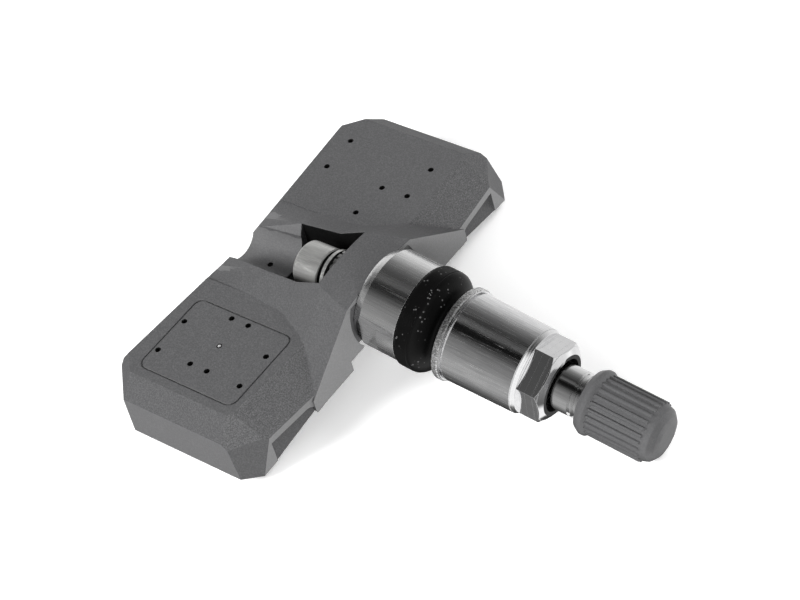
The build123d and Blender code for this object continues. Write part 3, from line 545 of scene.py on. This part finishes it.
# %% Tumbled metal of the clamp washer
def tumbled(name):
    """Pressed metal that was tumbled in stones: matt, with fine dents all over."""
    look, tree, shader = finish(name, (0.7, 0.7, 0.7), 0.45, 1.0)
    vector = object_vector(tree, LEAN)
    dents = noise_node(tree, vector, 3600.0, 2.0, 0.6)
    spots = math_node(tree, "MULTIPLY", math_node(tree, "SUBTRACT", dents, 0.4), 5.0, True)
    tint(tree, shader, spots, (0.4, 0.4, 0.4), (1.0, 1.0, 1.0))
    rough_range(tree, shader, dents, 0.35, 0.6)
    bump(tree, shader, dents, 0.6, 0.00005)
    return look


clamp_look = tumbled("tumbled_washer_metal")
print("finishes so far:", len(bpy.data.materials))

# %% [markdown]
# A solid from CAD has knife edges, and nothing moulded or turned has. A bevel
# needs clean faces, so a copy of the solid is merged and its flat faces are
# dissolved into one each. Round pieces take a true bevel. The housing has narrow
# slivers where its slopes run out, and a true bevel would fold over there, so the
# Bevel node in its material rounds the light on its edges instead. The copy
# stands for the node, and the solid stays untouched underneath.


# %% Rounded copy of a node
def merged_copy(node):
    """A bmesh of the node's solid with one face for each of its flat sides."""
    work = bmesh.new()
    work.from_mesh(nodes[node].data)
    bmesh.ops.remove_doubles(work, verts=work.verts, dist=0.000002)
    bmesh.ops.dissolve_limit(work, angle_limit=math.radians(0.6), verts=work.verts, edges=work.edges)
    return work


def round_edges(work, width, segments, sharp, wanted):
    """Bevel the sharp edges whose middle and length the wanted test accepts."""
    chosen = []
    for side in work.edges:
        if len(side.link_faces) != 2 or side.calc_face_angle() < math.radians(sharp):
            continue
        middle = (side.verts[0].co + side.verts[1].co) / 2 / MM
        if wanted(middle, side.calc_length() / MM):
            chosen.append(side)
    bmesh.ops.bevel(
        work,
        geom=chosen,
        offset=width,
        offset_type="OFFSET",
        segments=segments,
        profile=0.5,
        affect="EDGES",
        clamp_overlap=False,
        material=-1,
    )


def make_piece(work, name, looks, body, smooth=30.0):
    """Turn a bmesh into a finished object that rides on a body."""
    for face in work.faces:
        face.smooth = True
    for side in work.edges:
        side.smooth = len(side.link_faces) == 2 and side.calc_face_angle() < math.radians(smooth)
    mesh = bpy.data.meshes.new(name)
    work.to_mesh(mesh)
    work.free()
    for look in looks:
        mesh.materials.append(look)
    piece = bpy.data.objects.new(name, mesh)
    bpy.context.scene.collection.objects.link(piece)
    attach(piece, body)
    return piece


def steady_normals(piece):
    """Keep the large faces flat between their rounded edges."""
    steady = piece.modifiers.new("steady_normals", "WEIGHTED_NORMAL")
    steady.keep_sharp = True
    steady.weight = 100


# %% [markdown]
# The housing is one moulding in one plastic, but its faces don't look alike: its
# slopes are sandy, with a lighter copy as painted light on those facing the front
# and a darker copy as painted shade on the others, and its upright fronts are
# smoother and painted lighter as light. The tones of three areas follow the light
# of the photograph and not the plastic. The pocket round the screw is painted
# nearly black as shade, and the trough and the end walls are painted lighter as
# light.

# %% Housing
PLAIN, SANDY, PIN_MARK, LIP, SANDY_SHADED, POCKET, END_WALL, TROUGH = range(8)
PIN_FLOOR = 1.25
PIN_WALL_TOP = 2.2
PIN_AREA = 1.2
PINS_FROM = 8.5
CASE_TOP = 2.45
BEVELS_FROM = 17
END_WALL_FROM = 30
LIPS_FROM = -22
TROUGH_MARK = (-40.6, 0)
TROUGH_MARK_REACH = 0.62
TROUGH_MARK_TOP = -2.42
TROUGH_TOP = 3.0
TROUGH_FLOOR_HALF = 2.5
BEVEL_FOOT = -1.9
TROUGH_FRONT = -30.0
TROUGH_HALF = 7.5
POCKET_SIDE = 6.0
POCKET_FRONT = -22.0
POCKET_REAR = -36.5
POCKET_FLOOR = -2.6


def in_pocket(middle, lean):
    """The pocket round the screw's head: its two side walls, its front and its floor."""
    if not POCKET_REAR < middle.x < POCKET_FRONT + 0.05 or abs(middle.y) > POCKET_SIDE + 0.1:
        return False
    if abs(lean.y) > 0.9 and abs(abs(middle.y) - POCKET_SIDE) < 0.1:
        return True
    return lean.x < -0.98 and middle.x > POCKET_FRONT - 0.05 or abs(middle.z - POCKET_FLOOR) < 0.05


def housing_finish(face):
    """The number of a face's finish, from its place, its slope and its size."""
    middle = face.calc_center_median() / MM
    lean = face.normal
    small = face.calc_area() < PIN_AREA * MM * MM and abs(middle.y) > PINS_FROM
    upright = abs(lean.z) < 0.05
    if (middle.xy - Vector(TROUGH_MARK)).length < TROUGH_MARK_REACH and middle.z < TROUGH_MARK_TOP:
        return PIN_MARK
    if small and (abs(middle.z - PIN_FLOOR) < 0.02 or (upright and PIN_FLOOR < middle.z < PIN_WALL_TOP)):
        return PIN_MARK
    if in_pocket(middle, lean):
        return POCKET
    # Sandy slopes facing the front get the painted light copy, the others the painted shade copy.
    if 0.3 < lean.z < 0.96 and abs(middle.y) > BEVELS_FROM and BEVEL_FOOT < middle.z < CASE_TOP:
        return SANDY if lean.x > 0.3 else SANDY_SHADED
    if abs(lean.y) > 0.85 and abs(middle.y) > END_WALL_FROM:
        return END_WALL
    inward = lean.y * middle.y < -0.05 or abs(middle.y) < TROUGH_FLOOR_HALF
    in_trough = middle.x < TROUGH_FRONT and abs(middle.y) < TROUGH_HALF and middle.z < TROUGH_TOP
    if inward and lean.z > 0.1 and in_trough:
        return TROUGH
    return LIP if upright and lean.x > 0.7 and middle.x > LIPS_FROM else PLAIN


work = merged_copy("housing_shell")
for face in work.faces:
    face.material_index = housing_finish(face)
housing_looks = [
    housing_look, sandy_look, pit_look, lip_painted_light_look, sandy_shaded_look, pocket_look, end_wall_painted_light_look, trough_look,
]
housing = make_piece(work, "housing_shell_moulded", housing_looks, "sensor", 14.0)
steady_normals(housing)
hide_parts("housing_shell")
print("housing faces:", len(housing.data.polygons))

# %% Spun profiles
def spin_profile(points, axis, angle, steps, rise=(0, 0, 0), join=True):
    """Turn a line of points round an axis through the origin into one clean skin."""
    work = bmesh.new()
    line = [work.verts.new([c * MM for c in point]) for point in points]
    for first, second in zip(line, line[1:]):
        work.edges.new((first, second))
    bmesh.ops.spin(
        work,
        geom=list(work.verts) + list(work.edges),
        cent=(0, 0, 0),
        axis=axis,
        dvec=rise,
        angle=angle,
        steps=steps,
        use_merge=join,
    )
    bmesh.ops.remove_doubles(work, verts=work.verts, dist=0.000002)
    bmesh.ops.recalc_face_normals(work, faces=work.faces)
    return work


# %% [markdown]
# Plastic runs into the mould through one small gate, and where it is broken off a
# shallow ring with a shiny bead stays behind. Here it is in the middle of the
# framed panel. A spun profile gives the ring and the bead at once.

# %% Gate mark in the panel
GATE_PLACE = Vector((-32.8, -21.35, CASE_TOP)) * MM
GATE_PROFILE = [
    (0.0, 0.1), (0.1, 0.09), (0.2, 0.05), (0.28, 0.012), (0.5, 0.012), (0.56, 0.04),
    (0.64, 0.04), (0.72, -0.02),
]
GATE_STEPS = 24
GATE_BEAD = 0.26
GATE_RING = 0.52
gate_bm = spin_profile([(r, 0, z) for r, z in GATE_PROFILE], (0, 0, 1), math.tau, GATE_STEPS)
bmesh.ops.translate(gate_bm, verts=gate_bm.verts, vec=GATE_PLACE)
for face in gate_bm.faces:
    from_middle = (face.calc_center_median() - GATE_PLACE).length / MM
    face.material_index = 0 if from_middle < GATE_BEAD else 1 if from_middle < GATE_RING else 2
# The ring is painted nearly black as shade, and the bead a much paler grey as a painted highlight; the bead
# is also glossy.
gate_look = grained("shiny_gate_painted_highlight_plastic", (0.2, 0.2, 0.2), (0.5, 0.5, 0.5), (0.1, 0.2), 3000, 0.1)
gate = make_piece(gate_bm, "gate_mark", [gate_look, pit_look, housing_look], "sensor", 60.0)
print("gate mark faces:", len(gate.data.polygons))


# %% Nut, cap and screw with broken edges
def every_edge(middle, length):
    return length > 0.25


def along_valve(point):
    return point.dot(VALVE_AXIS) / MM


SLEEVE_END = 14.3
MOUTH_FROM = 18.0
MOUTH_RADIUS = 4.65


# Faces inside the nut's mouth take the painted shade of the bore finish.
def nut_finish(face):
    middle = face.calc_center_median()
    forward = along_valve(middle)
    out = (middle - VALVE_AXIS * forward * MM).length / MM
    if out < MOUTH_RADIUS and forward > MOUTH_FROM:
        return 2
    return 1 if forward > SLEEVE_END else 0


work = merged_copy("sleeve_nut")
for face in work.faces:
    face.material_index = nut_finish(face)
nut = make_piece(work, "sleeve_nut_polished", [sleeve_look, hex_look, bore_shade_look], "nut", 14.0)
steady_normals(nut)
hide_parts("sleeve_nut")

work = merged_copy("valve_cap")
round_edges(work, 0.07 * MM, 2, 24.0, every_edge)
for face in work.faces:
    face.material_index = 0
cap = make_piece(work, "valve_cap_moulded", [cap_look], "cap", 40.0)
steady_normals(cap)
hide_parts("valve_cap")

SCREW_HEIGHT = 2.3
HEAD_RADIUS = 4.15
NECK_REACH = (-26.1, -23.9)


def screw_edge(middle, length):
    x, y, z = middle
    out = math.hypot(y, z - SCREW_HEIGHT)
    return abs(out - HEAD_RADIUS) < 0.12 or (abs(out - HEAD_RADIUS + 0.45) < 0.12 and x < -30)


# Faces of the screw's neck take the painted shade of the bore finish.
def screw_finish(face):
    middle = face.calc_center_median() / MM
    out = math.hypot(middle.y, middle.z - SCREW_HEIGHT)
    return 1 if NECK_REACH[0] < middle.x < NECK_REACH[1] and out < 3.8 else 0


work = merged_copy("mounting_screw")
round_edges(work, 0.12 * MM, 2, 24.0, screw_edge)
for face in work.faces:
    face.material_index = screw_finish(face)
screw = make_piece(work, "mounting_screw_turned", [screw_look, bore_shade_look], "screw", 30.0)
steady_normals(screw)
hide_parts("mounting_screw")
print("rounded copies:", nut.name, cap.name, screw.name)

# %% [markdown]
# The stem carries a fine thread that the cap screws onto. Its solid is a plain
# cylinder, so the copy is cut just in front of the nut, its front is taken down to
# the root of the thread, and one profile is spun forward round the valve's axis.
# A spin with a step along the axis is the quickest way to a true helix.

# %% Stem with its thread
THREAD_PITCH = 0.794
THREAD_FROM = 22.7
THREAD_TO = 34.8
THREAD_ROOT = 3.38
THREAD_CREST = 3.83
work = merged_copy("valve_stem")
for place in (THREAD_FROM, THREAD_FROM + 0.12):
    everything = list(work.verts) + list(work.edges) + list(work.faces)
    bmesh.ops.bisect_plane(work, geom=everything, plane_co=VALVE_AXIS * place * MM, plane_no=VALVE_AXIS)
for vert in work.verts:
    forward = along_valve(vert.co)
    centre = VALVE_AXIS * forward * MM
    out = vert.co - centre
    if forward > THREAD_FROM + 0.1 and 3.5 < out.length / MM < 4.1:
        vert.co = centre + out.normalized() * THREAD_ROOT * MM
NECK_FROM = 9.0
for face in work.faces:
    face.material_index = 1 if along_valve(face.calc_center_median()) > NECK_FROM else 0
stem = make_piece(work, "valve_stem_turned", [base_look, neck_look], "sensor", 25.0)
steady_normals(stem)
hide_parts("valve_stem")

THREAD_FOOT = THREAD_ROOT - 0.02
THREAD_START = THREAD_FROM - 0.7
THREAD_PROFILE = [
    (0.0, THREAD_FOOT), (0.2, THREAD_FOOT), (0.43, THREAD_CREST), (0.56, THREAD_CREST),
    (THREAD_PITCH, THREAD_FOOT),
]
TURN_STEPS = 40
turns = int((THREAD_TO - THREAD_FROM) / THREAD_PITCH)
thread_bm = spin_profile(
    [(THREAD_START + x, 0, r) for x, r in THREAD_PROFILE],
    (1, 0, 0),
    math.tau * turns,
    TURN_STEPS * turns,
    rise=(THREAD_PITCH * MM / TURN_STEPS, 0, 0),
    join=False,
)
bmesh.ops.transform(thread_bm, matrix=ON_VALVE, verts=thread_bm.verts)
thread = make_piece(thread_bm, "stem_thread", [neck_look], "sensor", 30.0)
print("thread turns:", turns, "faces:", len(thread.data.polygons))

# %% [markdown]
# The grommet is soft rubber that was moulded in two halves, so a fine seam runs
# round its widest part, and its shoulder rolls over into the neck under the
# washer. A profile that is spun round the axis gives all of it in one closed skin.

# %% Grommet
GROMMET_PROFILE = [
    (-0.02, 4.02), (-6.98, 4.02), (-6.98, 7.95), (-6.94, 8.35), (-6.75, 8.68), (-6.45, 8.82),
    (-6.0, 8.84), (-4.34, 8.84), (-4.22, 8.74), (-4.1, 8.74), (-3.98, 8.8), (-3.7, 8.74),
    (-3.3, 8.52), (-2.8, 8.1),
    (-2.3, 7.5), (-1.9, 6.85), (-1.55, 6.3), (-1.1, 6.1), (-0.02, 6.1), (-0.02, 4.02),
]
GROMMET_STEPS = 128
grommet_bm = spin_profile([(x, 0, r) for x, r in GROMMET_PROFILE], (1, 0, 0), math.tau, GROMMET_STEPS)
bmesh.ops.transform(grommet_bm, matrix=ON_VALVE, verts=grommet_bm.verts)
grommet = make_piece(grommet_bm, "grommet_rubber", [rubber_look], "sensor", 38.0)
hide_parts("rubber_grommet")
print("grommet faces:", len(grommet.data.polygons))


# %% Finish of every other node
def coat(node, look):
    mesh = nodes[node].data
    mesh.materials.clear()
    mesh.materials.append(look)


chip_look = grained("chip_epoxy", (0.02, 0.02, 0.021), (0.035, 0.035, 0.036), (0.45, 0.55), 2500, 0.2)
ceramic_look = grained("sensor_ceramic", (0.5, 0.48, 0.45), (0.6, 0.58, 0.55), (0.4, 0.5), 1500, 0.1)
membrane_look = grained("filter_membrane", (0.8, 0.8, 0.78), (0.9, 0.9, 0.88), (0.7, 0.8), 3000, 0.3)
board_look = grained("green_solder_mask", (0.02, 0.12, 0.05), (0.03, 0.16, 0.07), (0.3, 0.4), 1200, 0.1)
ferrite_look = grained("sintered_ferrite", (0.05, 0.048, 0.048), (0.09, 0.088, 0.088), (0.35, 0.5), 1500, 0.2)
copper_look = turned("copper_winding", (0.5, 0.2, 0.08), (0.8, 0.38, 0.18), (0.25, 0.4), 4000, 0.8)
plate_look = turned("nickel_plate", (0.55, 0.55, 0.53), (0.8, 0.8, 0.78), (0.25, 0.4), 1500, 0.2)
for node, look in {
    "base_cover": cover_look,
    "circuit_board": board_look,
    "sensor_chip": ceramic_look,
    "pressure_port_filter": membrane_look,
    "transmitter_chip": chip_look,
    "crystal_can": plate_look,
    "chip_capacitors": chip_look,
    "antenna_core": ferrite_look,
    "antenna_coil": copper_look,
    "battery_cell": plate_look,
    "battery_lead_negative": plate_look,
    "battery_lead_positive": plate_look,
    "clamp_washer": clamp_look,
    "cap_seal": seal_look,
    "valve_core_body": core_look,
    "core_seal": seal_look,
    "core_pin": core_look,
    "screw_washer": washer_look,
}.items():
    coat(node, look)
print("nodes coated")

# %% [markdown]
# Pressing the valve's pin closes up the spring behind it. The wound copy of the
# spring gets a mesh of its own.

# %% Spring with a mesh of its own
spring = make_piece(merged_copy("core_spring"), "core_spring_wound", [plate_look], "sensor", 50.0)
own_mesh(spring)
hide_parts("core_spring")

bpy.context.view_layer.update()
